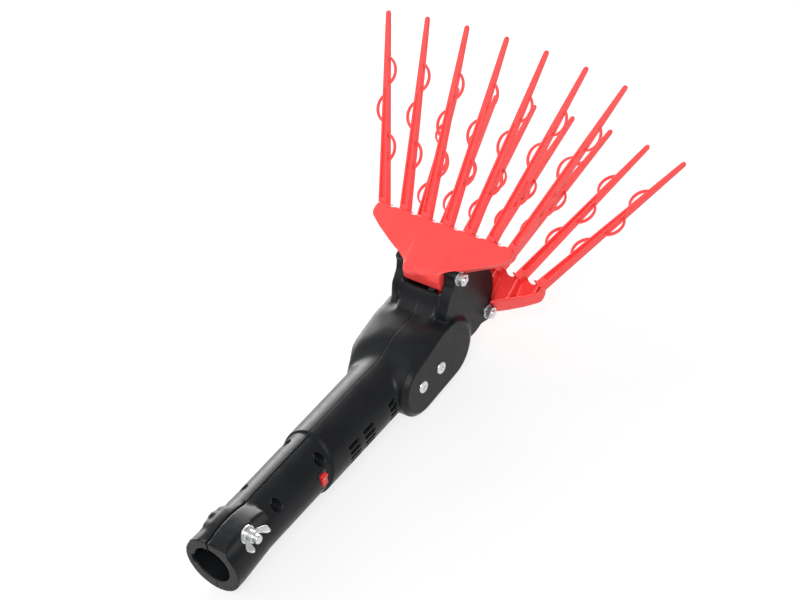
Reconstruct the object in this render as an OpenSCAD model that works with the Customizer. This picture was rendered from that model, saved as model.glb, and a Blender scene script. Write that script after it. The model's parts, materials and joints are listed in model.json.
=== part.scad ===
// Electric olive harvester: a pole-mounted head with two beating combs.
// The origin is the centre of the pole socket's mouth. +X runs along the body
// towards the combs, +Z is up and +Y is the left side. Sizes are millimetres.

/* [Handle] */
// Radius of the round handle
handle_r = 25; // [24:0.5:26]
// Radius of the vented motor tube
tube_r = 27; // [26.5:0.5:30]
// How far the motor tube's top starts behind the motor
step_lead = 14.3; // [12:0.1:16]
// Lean of the step between handle and motor tube, degrees
step_lean = 20; // [0:1:25]
// Wall of the moulded housing
wall = 3; // [2.4:0.1:3.4]

/* [Pole socket] */
// Radius of the pole bore
socket_r = 17.5; // [12:0.5:18]
// Depth of the pole bore
socket_depth = 55; // [53:1:57]
// Radius of the socket's mouth
rim_r = 27; // [26.5:0.5:30]
// How far the mouth's centre hangs below the bore
rim_drop = 1.5; // [0:0.5:3]
// Length of the flare behind the mouth
flare_len = 46; // [30:1:50]
// Length of the clamp ridge
ridge_len = 52; // [44:1:56]
// Half width of the clamp ridge
ridge_half_w = 20; // [17:0.5:21]
// Width of the split in the ridge
split_gap = 2.4; // [1:0.2:4]
// Radius of the clamp bolt
clamp_bolt_r = 4; // [3:0.5:5]
// Span of the wing nut's wings
wing_span = 27; // [22:1:34]

/* [Switch] */
// How far the switch sits behind the motor tube's top
switch_back = 19.5; // [19:0.5:24]
// Height of the switch on the right side
switch_z = 2; // [0:0.5:3]
// Length of the switch frame, up the side
switch_len = 15; // [12:0.5:16]
// Width of the switch frame, along the body
switch_w = 10; // [8:0.5:11]

/* [Motor] */
// Radius of the motor can
motor_r = 21; // [18:0.5:21.5]
// Length of the motor can
motor_len = 62; // [56:1:64]
// Radius of the motor shaft
shaft_r = 2.5; // [2:0.25:3]
// Height of the motor and gears above the tube's axis
drive_z = 3; // [1.5:0.5:3.5]

/* [Gear train] */
// Module of all gears
gear_module = 1; // [0.96:0.02:1.04]
// Teeth of the motor pinion
pinion_teeth = 16; // [16:2:18]
// Teeth of the face gear
face_teeth = 36; // [34:2:36]
// Teeth of the idler pinion
idler_teeth = 14; // [14:2:16]
// Teeth of the crank gear
crank_teeth = 38; // [36:2:38]
// Face width of the spur gears
gear_w = 5.5; // [4:0.5:6]
// Radius of the two fixed axles
axle_r = 4; // [3.5:0.1:4.2]
// Place of the idler axle along the body
idler_x = 243; // [240:1:246]

/* [Gearbox] */
// Half width over the flat gearbox sides
box_half_w = 36; // [35:0.5:40]
// Depth of the sloping shoulder round each flat side
box_shoulder = 5; // [3:0.5:6]
// Radius of the gearbox's rear end
box_rear_r = 28; // [27.5:0.5:30]
// Radius of the gearbox's front end
box_front_r = 29.5; // [28.5:0.5:31]
// Radius of the crown round the gearbox's middle
crown_r = 31.4; // [30.5:0.1:32]
// Radius of the flat side's rear end
face_rear_r = 23; // [22.5:0.5:24]
// Radius of the flat side's front end
face_front_r = 27; // [26.5:0.5:28]
// Wall of the gearbox's flat sides
box_wall = 3.5; // [3:0.1:4]

/* [Head] */
// Rise of the head above the body axis, degrees
head_angle = 25.5; // [22:0.5:29]
// Distance from the crank axle to the pivots, along the head
pivot_reach = 69.5; // [68:0.5:74]
// Distance of each pivot from the head's axis
pivot_half = 34.5; // [33:0.5:37]
// Half width over the ears
ear_half_w = 30.5; // [28:0.5:33]
// Half of the gap between the ears
ear_gap_half = 19.6; // [17.6:0.2:20.6]
// Radius of the ears' bulging front
ear_r = 36.5; // [34:0.5:38]
// Radius of the ears round each pivot
lobe_r = 9.5; // [8:0.5:10]
// Half height of the neck
neck_half = 24; // [23:0.5:25]
// Distance from the crank axle to the end of the neck's roof
roof_end = 53; // [48:0.5:54]

/* [Crank] */
// Throw of the eccentric journal
throw = 2.5; // [2:0.1:2.6]
// Lever arm from comb pivot to lever pin
lever = 14.5; // [14:0.1:15]
// Radius of the eccentric journal
journal_r = 9; // [8.6:0.1:9.4]
// Thickness of the connecting rods
rod_t = 6; // [4:0.5:6]
// Radius of the lever pins
pin_r = 2.5; // [2:0.1:2.8]
// Swing of the combs to each side, degrees
comb_swing = 8.4; // [6:0.2:8.4]

/* [Combs] */
// Opening of the upper comb from the head's axis, degrees
upper_open = 21.3; // [18:0.1:24]
// Opening of the lower comb from the head's axis, degrees
lower_open = 10.1; // [9:0.1:16]
// Tines on each side of a comb's middle tine
side_tines = 3; // [1:1:3]
// Distance between the tine roots
tine_pitch = 22.5; // [21:0.5:24]
// Angle from one tine to the next, degrees
tine_fan = 6.3; // [4:0.1:7]
// Length of the tines
tine_len = 165; // [130:1:200]
// Thickness of a tine at its root
tine_root = 8; // [7:0.5:9]
// Thickness of a tine at its tip
tine_tip = 3.5; // [3:0.1:5]
// Distance from the pivot to the comb's front edge
comb_front = 40; // [38:0.5:44]
// Depth of the tines' plane below the pivot
tine_drop = 8.7; // [8:0.1:9.4]
// Wall of the hollow comb base
comb_wall = 2.6; // [2:0.1:3]
// Chord of a side loop
loop_chord = 26; // [22:0.5:28]
// Rise of a side loop
loop_rise = 8; // [6:0.5:9]

/* [Fasteners] */
// Radius of the pivot bolts
pivot_bolt_r = 3; // [2.5:0.1:3.4]
// Radius of the gearbox screws
box_screw_r = 2; // [1.5:0.1:2.4]
// Radius of the handle screws
handle_screw_r = 1.75; // [1.4:0.05:2]

/* [Hidden] */
$fn = 64;
// Facets of the hulled shells
hull_fn = 40;
// Overrun of every cut
over = 1;
// Running clearance of shafts and pins, on the radius
run_fit = 0.05;
// Place of a straight side's ends on a round end's radius
tuck_share = 0.9995;
// Gap between a piece and the pocket that it sits in
seat_gap = 0.2;

// Pole socket and clamp
rim_len = 10;
bolt_margin = 0.5;
clamp_x = ridge_len / 2;
clamp_z = socket_r + clamp_bolt_r + bolt_margin;
washer_r = 2 * clamp_bolt_r;
washer_t = 1.6;
ridge_top = clamp_z + 0.85 * washer_r;
ridge_foot = handle_r - over;
ridge_rise = ridge_top - ridge_foot;
ridge_arc_r = (pow(ridge_len / 2, 2) + pow(ridge_rise, 2)) / (2 * ridge_rise);
clamp_head_t = 5.5;
clamp_head_r = 1.8 * clamp_bolt_r;
head_boss_wall = 1.4;
head_boss_r = clamp_head_r + head_boss_wall;
head_boss_t = 3;
head_boss_l = 11;
nut_hub_r = 1.6 * clamp_bolt_r;
nut_hub_top_r = 1.35 * clamp_bolt_r;
nut_hub_h = 8;
wing_h = 15;
wing_t = 2.6;
wing_w = 6.6;
wing_turn = 10;
clamp_thread = 4;
cable_r = 5;
key_depth = 3.5;
key_w = 9;
key_z = -1.7;
key_len = 14;

// Motor, from its mounting plate backwards, and the step and switch behind it
face_mean_r = gear_module * face_teeth / 2;
pinion_r = gear_module * pinion_teeth / 2;
pinion_x = idler_x - face_mean_r;
pinion_w = 6.4;
pinion_clear = 6;
plate_t = 2.5;
plate_front_x = pinion_x - pinion_w / 2 - pinion_clear;
motor_front_x = plate_front_x - plate_t;
motor_rear_x = motor_front_x - motor_len;
step_x = motor_rear_x - step_lead;
switch_x = step_x - switch_back;

// Handle
screw_past_flare = 20;
screw_past_switch = 1;
handle_screw_xs = [flare_len + screw_past_flare, switch_x + switch_w / 2 + screw_past_switch];
handle_screw_z = 0.64 * handle_r;
screw_recess_r = 4.75;
screw_boss_wall = 1.25;
screw_boss_r = screw_recess_r + screw_boss_wall;
screw_floor_y = 9;
screw_head_r = 2 * handle_screw_r;
screw_head_t = 2.2;
screw_reach = 7;

// Switch
frame_t = 1.7;
frame_recess = 2.6;
frame_floor_y = handle_r - frame_recess;
switch_depth = 11;
switch_inset = 0.9;
rocker_gap = 0.35;
rocker_half_tilt = 10;
rocker_pivot_out = 0.4;
rocker_pivot_y = frame_floor_y + rocker_pivot_out;
rocker_rise = 4;
stub_r = 1.2;
blade_l = 6;
blade_w = 4.8;
blade_t = 0.8;
blade_gap = 7;

// Motor, inside
plate_lip = 2;
plate_r = motor_r + plate_lip;
can_t = 1.5;
can_front_t = 2;
motor_boss_r = 6.5;
motor_boss_t = 4;
cap_t = 4;
cap_boss_t = 3;
magnet_t = 4.4;
magnet_share = 0.68;
magnet_span = 130;
core_gap = 1;
core_r = motor_r - can_t - magnet_t - core_gap;
commutator_r = 6;
motor_screw_r = 2;
motor_screw_ring = 0.69 * motor_r;
motor_screw_head_r = 3.5;
motor_screw_head_t = 2.2;
motor_blade_y = 0.55 * motor_r;
bay_r = motor_r + seat_gap;
pinion_bay_r = motor_screw_ring + motor_screw_head_r + over;

// Gears
crank_x = idler_x + gear_module * (idler_teeth + crank_teeth) / 2;
pressure = 20;
tooth_play = 0.24 * gear_module;
addendum = gear_module;
dedendum = 1.25 * gear_module;
face_tip_y = pinion_r - addendum;
face_root_y = pinion_r + dedendum;
face_disc_t = 3.2;
face_tooth_in = 0.6 * gear_module;
face_tooth_out = 1.9 * gear_module;
face_rim_r = face_mean_r + face_tooth_out;
face_back_y = face_root_y + face_disc_t;
gear_gap = 0.5;
gear_y = face_back_y + gear_gap;
idler_lead = 0.2;
hub_r = 1.42 * axle_r;
bay_half = box_half_w - box_wall;
axle_boss_l = 4.5;
axle_boss_r = 2 * axle_r;
hub_play = 0.3;
hub_end = bay_half - axle_boss_l - hub_play;
axle_screw_l = 13;
axle_screw_head_r = 2 * box_screw_r;
axle_screw_head_t = 2.4;
axle_screw_socket_r = 0.8 * box_screw_r;

// Gearbox outline in the XZ plane
box_floor = -(rim_r + rim_drop);
box_rear_ahead = 3;
box_front_ahead = 22.5;
box_front_up = 1;
crown_back = 5;
crown_up = 1;
crown_half_w = 13;
box_rear = [idler_x + box_rear_ahead, box_floor + box_rear_r];
box_front = [crank_x + box_front_ahead, drive_z + box_front_up];
crown = [crank_x - crown_back, drive_z + crown_up];
face_rear_ahead = 1;
face_rear_down = 2;
face_front_ahead = 17;
face_front_up = 4.5;
face_rear = [idler_x + face_rear_ahead, drive_z - face_rear_down];
face_front = [crank_x + face_front_ahead, drive_z + face_front_up];
face_inset = 2;
gear_room_gap = 1;

// Head and ears, in the head's own frame
roof_lift = 1.6;
roof_dip = 5;
ear_back = 8;
ear_waist_r = 0.8 * ear_r;
ear_centre = [pivot_reach - ear_back, 0];

// Connecting rods: each rod is square to its lever at rest
rod_gap = 1;
rod_y = (rod_gap + rod_t) / 2;
journal_play = 0.25;
journal_half = rod_gap / 2 + rod_t + journal_play;
big_end_wall = 3;
big_end_r = journal_r + big_end_wall;
eye_play = 1.1;
eye_wall = 2.6;
eye_r = pin_r + eye_play + eye_wall;
eye_shift = 0.9;
rod_half_h = 3.2;
upper_run = [pivot_reach, pivot_half - throw];
lower_run = [pivot_reach, pivot_half + throw];
function rod_angle(run) = atan2(run[1], run[0]) - asin(lever / norm(run));
function rod_len(run) = sqrt(pow(norm(run), 2) - pow(lever, 2));
function lever_angle(run, open) = rod_angle(run) - 90 - open;

// Pivots
sleeve_wall = 2;
sleeve_r = pivot_bolt_r + sleeve_wall;
barrel_wall = 3;
barrel_r = sleeve_r + barrel_wall;
pivot_washer_r = 2.1 * pivot_bolt_r;
pivot_washer_t = 1.2;
pivot_nut_t = 5;
pivot_nut_r = 1.93 * pivot_bolt_r;
pivot_head_t = 4;
pivot_thread = 1.5;

// Combs, in the comb's own frame: u forward, v sideways, w outward
tongue_play = 0.6;
tongue_half = ear_gap_half - tongue_play;
ear_clear = 0.8;
corner_r = 8;
corner_in = 1.5;
corner_v = side_tines * tine_pitch - corner_in;
heart_r = 24;
gap_r = (tine_pitch - tine_root) / 2;
gap_depth = 3;
tongue_end = 15;
tongue_top = 14.8;
tine_embed = 2.2;
tine_start_in = 1.5;
tine_start = comb_front - tine_start_in;
groove_floor = 0.21 * tine_root;
groove_half = 0.29 * tine_root;
groove_tip_half = 0.7;
groove_share = 0.6;
loop_t = 1.7;
loop_w = 2.8;
loop_embed = 1.3;
loop_shares = [0.285, 0.49, 0.69];
loop_arc_r = (pow(loop_chord / 2, 2) + pow(loop_rise, 2)) / (2 * loop_rise);
loop_half_arc = asin(loop_chord / 2 / loop_arc_r);
rib_t = 2.4;
front_lip = 0.5;
front_foot = 0.2;
wing_top_rear = 15.8;
wing_bottom_rear = -4;
lug_wall = 3.5;
lug_r = pin_r + lug_wall;
lug_t = 3;
lug_gap = 0.3;
pocket_gap = 0.8;

// Vent slots: place along the tube and length of each group
vent_first = 0.5;
vent_second = 21;
vent_last = 5;
vent_places = [motor_rear_x + vent_first, motor_rear_x + vent_second, motor_front_x - vent_last];
vent_lengths = [13.5, 13.5, 9];
vent_rows = 4;
vent_pitch = 5.6;
vent_h = 2.8;
vent_low_z = -12;

// Stands a child's Z axis along +X, or along +Y
module along_x(x, y = 0, z = 0) {
    translate([x, y, z]) rotate([0, 90, 0]) children();
}

module along_y(x, y, z) {
    translate([x, y, z]) rotate([-90, 0, 0]) children();
}

// A flat outline in the XZ plane, made thick from y0 to y1
module slab(y0, y1) {
    translate([0, y1, 0]) rotate([90, 0, 0]) linear_extrude(y1 - y0) children();
}

// The head's frame: x along the head from the crank axle, z towards the upper pivot
module in_head() {
    translate([crank_x, 0, drive_z]) rotate([0, -head_angle, 0]) children();
}

// A pivot's frame; the lower side is the upper side turned about the head's axis
module at_pivot(upper) {
    in_head() rotate([upper ? 0 : 180, 0, 0]) translate([pivot_reach, 0, pivot_half]) children();
}

// Outline round two circles; its straight sides end just inside the circles
module bean(a, ra, b, rb) {
    aim = atan2(b[1] - a[1], b[0] - a[0]);
    lean = acos((ra - rb) / norm(b - a));
    translate(a) circle(ra);
    translate(b) circle(rb);
    polygon([
        a + polar(tuck_share * ra, aim + lean),
        b + polar(tuck_share * rb, aim + lean),
        b + polar(tuck_share * rb, aim - lean),
        a + polar(tuck_share * ra, aim - lean)
    ]);
}

// Round bar along Y with a through bore
module ring_y(x, y0, y1, z, r, bore) {
    along_y(x, y0, z) difference() {
        cylinder(r = r, h = y1 - y0);
        translate([0, 0, -over]) cylinder(r = bore, h = y1 - y0 + 2 * over);
    }
}

// Involute gear teeth
function involute(a) = tan(a) * 180 / PI - a;
function flank(teeth, r) =
    let (
        base_r = gear_module * teeth / 2 * cos(pressure),
        play = tooth_play / (gear_module * teeth) * 180 / PI,
        roll = r > base_r ? acos(base_r / r) : 0
    )
    90 / teeth - play + involute(pressure) - involute(roll);
function polar(r, a) = [r * cos(a), r * sin(a)];

module gear_outline(teeth) {
    pitch_r = gear_module * teeth / 2;
    base_r = pitch_r * cos(pressure);
    root_r = pitch_r - dedendum;
    radii = [root_r, max(root_r, base_r) + 0.1 * gear_module, pitch_r, pitch_r + 0.5 * addendum,
             pitch_r + addendum];
    polygon([
        for (tooth = [0 : teeth - 1]) each [
            for (r = radii) polar(r, tooth * 360 / teeth - flank(teeth, r)),
            for (i = [len(radii) - 1 : -1 : 0])
                polar(radii[i], tooth * 360 / teeth + flank(teeth, radii[i]))
        ]
    ]);
}

// Housing, outside
module ridge_outline() {
    intersection() {
        translate([ridge_len / 2, ridge_top - ridge_arc_r]) circle(ridge_arc_r, $fn = 128);
        square([ridge_len, ridge_top + over]);
    }
}

module socket_form() {
    hull() {
        along_x(0, 0, -rim_drop) cylinder(r = rim_r, h = rim_len, $fn = hull_fn);
        along_x(flare_len) cylinder(r = handle_r, h = over, $fn = hull_fn);
    }
    slab(-ridge_half_w, ridge_half_w) ridge_outline();
    along_y(clamp_x, ridge_half_w + head_boss_t - head_boss_l, clamp_z)
        cylinder(r = head_boss_r, h = head_boss_l);
}

module motor_tube_form() {
    lean_run = 2 * tube_r * tan(step_lean);
    intersection() {
        along_x(step_x - lean_run) cylinder(r = tube_r, h = box_rear[0] - step_x + lean_run);
        translate([step_x, 0, tube_r]) rotate([0, step_lean, 0])
            translate([0, -2 * tube_r, -4 * tube_r]) cube([box_rear[0], 4 * tube_r, 8 * tube_r]);
    }
}

module gearbox_form() {
    hull() {
        slab(box_shoulder - box_half_w, box_half_w - box_shoulder)
            bean(box_rear, box_rear_r, box_front, box_front_r, $fn = hull_fn);
        slab(-box_half_w, box_half_w) bean(face_rear, face_rear_r, face_front, face_front_r, $fn = hull_fn);
        slab(-crown_half_w, crown_half_w) translate(crown) circle(crown_r, $fn = 2 * hull_fn);
    }
}

module ear_outline(grow, lobe_grow) {
    translate(ear_centre) circle(ear_r + grow);
    for (side = [-1, 1])
        bean(ear_centre, ear_waist_r + grow, [pivot_reach, side * pivot_half], lobe_r + lobe_grow);
}

// The neck's side, with a roof that climbs towards the pivots
module neck_outline(inset, longer) {
    polygon([[0, inset - neck_half], [roof_end + longer, inset - neck_half],
             [roof_end + longer, neck_half + roof_lift - inset],
             [roof_end / 2, neck_half - roof_dip - inset], [0, neck_half - 2 * roof_dip - inset]]);
}

module head_form() {
    in_head() {
        slab(-ear_half_w, ear_half_w) neck_outline(0, 0);
        for (side = [-1, 1]) mirror([0, side > 0 ? 0 : 1, 0]) slab(ear_gap_half, ear_half_w)
            ear_outline(0, 0);
    }
}

module outer_form() {
    socket_form();
    along_x(flare_len) cylinder(r = handle_r, h = step_x - flare_len);
    motor_tube_form();
    gearbox_form();
    head_form();
}

// Housing, inside
module bays() {
    chamber_x = socket_depth + wall;
    chamber_end = motor_rear_x - cap_t;
    along_x(-over) cylinder(r = socket_r, h = socket_depth + over);
    translate([-over, 0, key_z - key_w / 2]) cube([key_len + over, socket_r + key_depth, key_w]);
    along_x(socket_depth - over) cylinder(r = cable_r, h = wall + 2 * over);
    along_x(chamber_x) cylinder(r = handle_r - wall, h = chamber_end - chamber_x);
    along_x(chamber_end - over, 0, drive_z) cylinder(r = bay_r, h = motor_front_x - chamber_end + over);
    along_x(motor_front_x, 0, drive_z) cylinder(r = plate_r + seat_gap, h = plate_t);
    along_x(plate_front_x - over, 0, drive_z) cylinder(r = pinion_bay_r, h = idler_x - plate_front_x);
    slab(-bay_half, bay_half)
        bean(face_rear, face_rear_r - face_inset, face_front, face_front_r - face_inset);
    along_y(idler_x, face_tip_y - gear_room_gap, drive_z)
        cylinder(r = face_rim_r + gear_room_gap, h = face_back_y - face_tip_y + 2 * gear_room_gap);
    in_head() slab(-ear_gap_half, ear_gap_half) neck_outline(wall, over);
}

module bosses() {
    intersection() {
        for (x = handle_screw_xs)
            along_y(x, -handle_r, handle_screw_z) cylinder(r = screw_boss_r, h = 2 * handle_r);
        along_x(flare_len) cylinder(r = handle_r - over, h = step_x - flare_len);
    }
    for (x = [idler_x, crank_x], side = [-1, 1])
        along_y(x, side > 0 ? bay_half - axle_boss_l : -bay_half - over, drive_z)
            cylinder(r = axle_boss_r, h = axle_boss_l + over);
}

module vents() {
    for (group = [0 : len(vent_places) - 1], row = [0 : vent_rows - 1], side = [-1, 1])
        translate([vent_places[group], side > 0 ? tube_r / 2 : -2 * tube_r, vent_low_z + row * vent_pitch])
            cube([vent_lengths[group], 1.5 * tube_r, vent_h]);
}

module holes() {
    // clamp split, clamp bolt, the pocket of its head and the flat under its washer
    translate([-over, -split_gap / 2, 0]) cube([ridge_len + over, split_gap, ridge_top + over]);
    along_y(clamp_x, -2 * ridge_half_w, clamp_z)
        cylinder(r = clamp_bolt_r + seat_gap, h = 4 * ridge_half_w);
    along_y(clamp_x, ridge_half_w, clamp_z) cylinder(r = clamp_head_r + seat_gap, h = ridge_half_w);
    along_y(clamp_x, -2 * ridge_half_w, clamp_z) cylinder(r = washer_r + seat_gap, h = ridge_half_w);
    // handle screws
    for (x = handle_screw_xs) {
        for (side = [0, 1]) mirror([0, side, 0])
            along_y(x, screw_floor_y, handle_screw_z) cylinder(r = screw_recess_r, h = handle_r);
        along_y(x, -handle_r, handle_screw_z) cylinder(r = handle_screw_r, h = 2 * handle_r);
    }
    // switch
    translate([switch_x - switch_w / 2 - seat_gap, -2 * handle_r, switch_z - switch_len / 2 - seat_gap])
        cube([switch_w + 2 * seat_gap, 2 * handle_r - frame_floor_y, switch_len + 2 * seat_gap]);
    translate([switch_x - switch_w / 2 + switch_inset, -handle_r, switch_z - switch_len / 2 + switch_inset])
        cube([switch_w - 2 * switch_inset, handle_r, switch_len - 2 * switch_inset]);
    // axles and their screws
    for (x = [idler_x, crank_x]) {
        along_y(x, -bay_half, drive_z) cylinder(r = axle_r, h = 2 * bay_half);
        along_y(x, -2 * box_half_w, drive_z) cylinder(r = box_screw_r + seat_gap, h = 2 * box_half_w);
    }
    // comb pivots
    for (upper = [true, false])
        at_pivot(upper) along_y(0, -2 * ear_half_w, 0) cylinder(r = pivot_bolt_r, h = 4 * ear_half_w);
    vents();
}

module housing() {
    difference() {
        union() {
            difference() {
                outer_form();
                bays();
            }
            bosses();
        }
        holes();
    }
}

// One side of the housing, parted at y = 0
module housing_half(side) {
    reach = 500;
    intersection() {
        housing();
        translate([-over, side > 0 ? 0 : -reach, -reach / 2]) cube([reach, reach, reach]);
    }
}

module right_housing() {
    color([0.12, 0.13, 0.14]) housing_half(-1);
}

module left_housing() {
    color([0.12, 0.13, 0.14]) housing_half(1);
}

module handle_screws() {
    color("silver") for (x = handle_screw_xs) {
        along_y(x, -screw_floor_y - screw_head_t, handle_screw_z)
            cylinder(r = screw_head_r, h = screw_head_t);
        along_y(x, -screw_floor_y, handle_screw_z)
            cylinder(r = handle_screw_r, h = screw_floor_y + screw_reach);
    }
}

// Pole clamp
module clamp_bolt() {
    end_y = -ridge_half_w - washer_t - nut_hub_h - clamp_thread;
    color("silver") {
        along_y(clamp_x, end_y, clamp_z) cylinder(r = clamp_bolt_r, h = ridge_half_w - end_y);
        along_y(clamp_x, ridge_half_w, clamp_z) cylinder(r = clamp_head_r, h = clamp_head_t, $fn = 6);
    }
}

module clamp_washer() {
    color("silver")
        ring_y(clamp_x, -ridge_half_w - washer_t, -ridge_half_w, clamp_z,
               washer_r, clamp_bolt_r + seat_gap);
}

module wing_outline() {
    tip_r = wing_w / 2;
    bean([nut_hub_r / 2, nut_hub_h / 2], 0.8 * tip_r, [wing_span / 2 - tip_r, wing_h - tip_r], tip_r);
}

module wing_nut() {
    color("silver") translate([clamp_x, -ridge_half_w - washer_t, clamp_z]) rotate([90, 0, 0])
        rotate(wing_turn)
        difference() {
            union() {
                cylinder(r1 = nut_hub_r, r2 = nut_hub_top_r, h = nut_hub_h);
                for (side = [0, 180]) rotate(side) slab(-wing_t / 2, wing_t / 2) wing_outline();
            }
            translate([0, 0, -over]) cylinder(r = clamp_bolt_r + run_fit, h = wing_h + 2 * over);
        }
}

// Switch
module switch_body() {
    color([0.07, 0.07, 0.07]) difference() {
        union() {
            translate([switch_x - switch_w / 2, -frame_floor_y - frame_t, switch_z - switch_len / 2])
                cube([switch_w, frame_t, switch_len]);
            translate([switch_x - switch_w / 2 + 1.2 * switch_inset, -frame_floor_y,
                       switch_z - switch_len / 2 + 1.2 * switch_inset])
                cube([switch_w - 2.4 * switch_inset, switch_depth, switch_len - 2.4 * switch_inset]);
        }
        translate([switch_x - switch_w / 2 + 1.6 * switch_inset, -2 * handle_r,
                   switch_z - switch_len / 2 + 1.6 * switch_inset])
            cube([switch_w - 3.2 * switch_inset, 2 * handle_r - frame_floor_y + switch_depth / 2,
                  switch_len - 3.2 * switch_inset]);
        along_x(switch_x - switch_w, -rocker_pivot_y, switch_z) cylinder(r = stub_r, h = 2 * switch_w);
    }
}

// Side view of the rocker: a shallow roof over a round underside
module rocker_outline() {
    half_l = switch_len / 2 - 1.6 * switch_inset - 2 * rocker_gap;
    ridge = rocker_rise - half_l * tan(rocker_half_tilt);
    polygon([[-half_l, -blade_t], [half_l, -blade_t], [half_l, rocker_rise],
             [0, ridge], [-half_l, rocker_rise]]);
    circle(half_l / 2);
}

module switch_rocker() {
    half_w = switch_w / 2 - 1.6 * switch_inset - rocker_gap;
    color([0.85, 0.08, 0.08]) translate([switch_x, -rocker_pivot_y, switch_z]) {
        rotate([rocker_half_tilt, 0, 0]) rotate([0, -90, 180]) translate([0, 0, -half_w])
            linear_extrude(2 * half_w) rocker_outline();
        along_x(-switch_w / 2 + 1.2 * switch_inset + seat_gap / 2)
            cylinder(r = stub_r - run_fit, h = switch_w - 2.4 * switch_inset - seat_gap);
    }
}

module switch_terminals() {
    color("goldenrod") for (side = [-1, 1])
        translate([switch_x - blade_w / 2, switch_depth - frame_floor_y,
                   switch_z + side * blade_gap / 2 - blade_t / 2])
            cube([blade_w, blade_l, blade_t]);
}

// Motor
module motor_can() {
    color([0.62, 0.63, 0.65]) difference() {
        union() {
            along_x(motor_rear_x, 0, drive_z) cylinder(r = motor_r, h = motor_len);
            along_x(motor_front_x, 0, drive_z) cylinder(r = motor_boss_r, h = motor_boss_t);
        }
        along_x(motor_rear_x - over, 0, drive_z)
            cylinder(r = motor_r - can_t, h = motor_len - can_front_t + over);
        along_x(motor_rear_x, 0, drive_z) cylinder(r = shaft_r + run_fit, h = 2 * motor_len);
        for (side = [-1, 1])
            along_x(motor_rear_x, 0, drive_z + side * motor_screw_ring)
                cylinder(r = motor_screw_r, h = 2 * motor_len);
    }
}

module motor_magnets() {
    magnet_l = magnet_share * motor_len;
    color([0.25, 0.25, 0.27]) for (side = [0, 180])
        along_x(motor_front_x - can_front_t - over - magnet_l, 0, drive_z) rotate(side - magnet_span / 2)
            rotate_extrude(angle = magnet_span) translate([motor_r - can_t - magnet_t, 0])
                square([magnet_t, magnet_l]);
}

module motor_armature() {
    core_l = magnet_share * motor_len - 4 * over;
    core_x = motor_front_x - can_front_t - 3 * over - core_l;
    shaft_rear_x = motor_rear_x - cap_t - cap_boss_t;
    color([0.45, 0.4, 0.36]) {
        along_x(shaft_rear_x, 0, drive_z)
            cylinder(r = shaft_r, h = pinion_x + pinion_w / 2 + over - shaft_rear_x);
        along_x(core_x, 0, drive_z) cylinder(r = core_r, h = core_l);
        along_x(motor_rear_x + over, 0, drive_z)
            cylinder(r = commutator_r, h = core_x - motor_rear_x - over);
    }
}

module motor_end_cap() {
    color([0.2, 0.2, 0.22]) difference() {
        union() {
            along_x(motor_rear_x - cap_t, 0, drive_z) cylinder(r = motor_r - over, h = cap_t);
            along_x(motor_rear_x - cap_t - cap_boss_t, 0, drive_z)
                cylinder(r = motor_boss_r, h = cap_boss_t + over);
        }
        along_x(motor_rear_x - 2 * motor_len, 0, drive_z)
            cylinder(r = shaft_r + run_fit, h = 4 * motor_len);
    }
}

module motor_terminals() {
    color("goldenrod") for (side = [-1, 1])
        translate([motor_rear_x - cap_t - blade_l, side * motor_blade_y - blade_t / 2,
                   drive_z - blade_w / 2])
            cube([blade_l, blade_t, blade_w]);
}

module motor_plate() {
    color("silver") difference() {
        along_x(motor_front_x, 0, drive_z) cylinder(r = plate_r, h = plate_t);
        along_x(motor_front_x - over, 0, drive_z)
            cylinder(r = motor_boss_r + seat_gap, h = plate_t + 2 * over);
        for (side = [-1, 1])
            along_x(motor_front_x - over, 0, drive_z + side * motor_screw_ring)
                cylinder(r = motor_screw_r, h = plate_t + 2 * over);
    }
}

module motor_screws() {
    color("silver") for (side = [-1, 1]) {
        along_x(motor_front_x - can_front_t, 0, drive_z + side * motor_screw_ring)
            cylinder(r = motor_screw_r, h = can_front_t + plate_t);
        along_x(plate_front_x, 0, drive_z + side * motor_screw_ring)
            cylinder(r = motor_screw_head_r, h = motor_screw_head_t);
    }
}

// The pinion points one tooth straight at the face gear
module motor_pinion() {
    color([0.7, 0.66, 0.5]) along_x(pinion_x - pinion_w / 2, 0, drive_z) rotate(90) difference() {
        linear_extrude(pinion_w) gear_outline(pinion_teeth);
        translate([0, 0, -over]) cylinder(r = shaft_r, h = pinion_w + 2 * over);
    }
}

// Fixed axle with a tapped right end
module fixed_axle(x) {
    color("silver") difference() {
        along_y(x, -bay_half, drive_z) cylinder(r = axle_r, h = 2 * bay_half);
        along_y(x, -bay_half - over, drive_z) cylinder(r = box_screw_r, h = axle_screw_l - box_wall + over);
    }
}

module idler_axle() {
    fixed_axle(idler_x);
}

module crank_axle() {
    fixed_axle(crank_x);
}

module axle_screws() {
    color("silver") for (x = [idler_x, crank_x]) difference() {
        union() {
            along_y(x, -box_half_w, drive_z) cylinder(r = box_screw_r, h = axle_screw_l);
            along_y(x, -box_half_w - axle_screw_head_t, drive_z)
                cylinder(r1 = 0.8 * axle_screw_head_r, r2 = axle_screw_head_r, h = axle_screw_head_t);
        }
        along_y(x, -box_half_w - axle_screw_head_t - over, drive_z)
            cylinder(r = axle_screw_socket_r, h = 0.6 * axle_screw_head_t + over, $fn = 6);
    }
}

// Straight-sided face tooth, with its mean width at the pitch plane
module face_tooth_outline() {
    half = PI / 4 * gear_module - tooth_play / 2;
    tip_half = half - addendum * tan(pressure);
    root_half = half + dedendum * tan(pressure);
    root_y = face_root_y + 0.1 * gear_module;
    polygon([[-root_half, root_y], [-root_half, face_root_y], [-tip_half, face_tip_y],
             [tip_half, face_tip_y], [root_half, face_root_y], [root_half, root_y]]);
}

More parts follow.
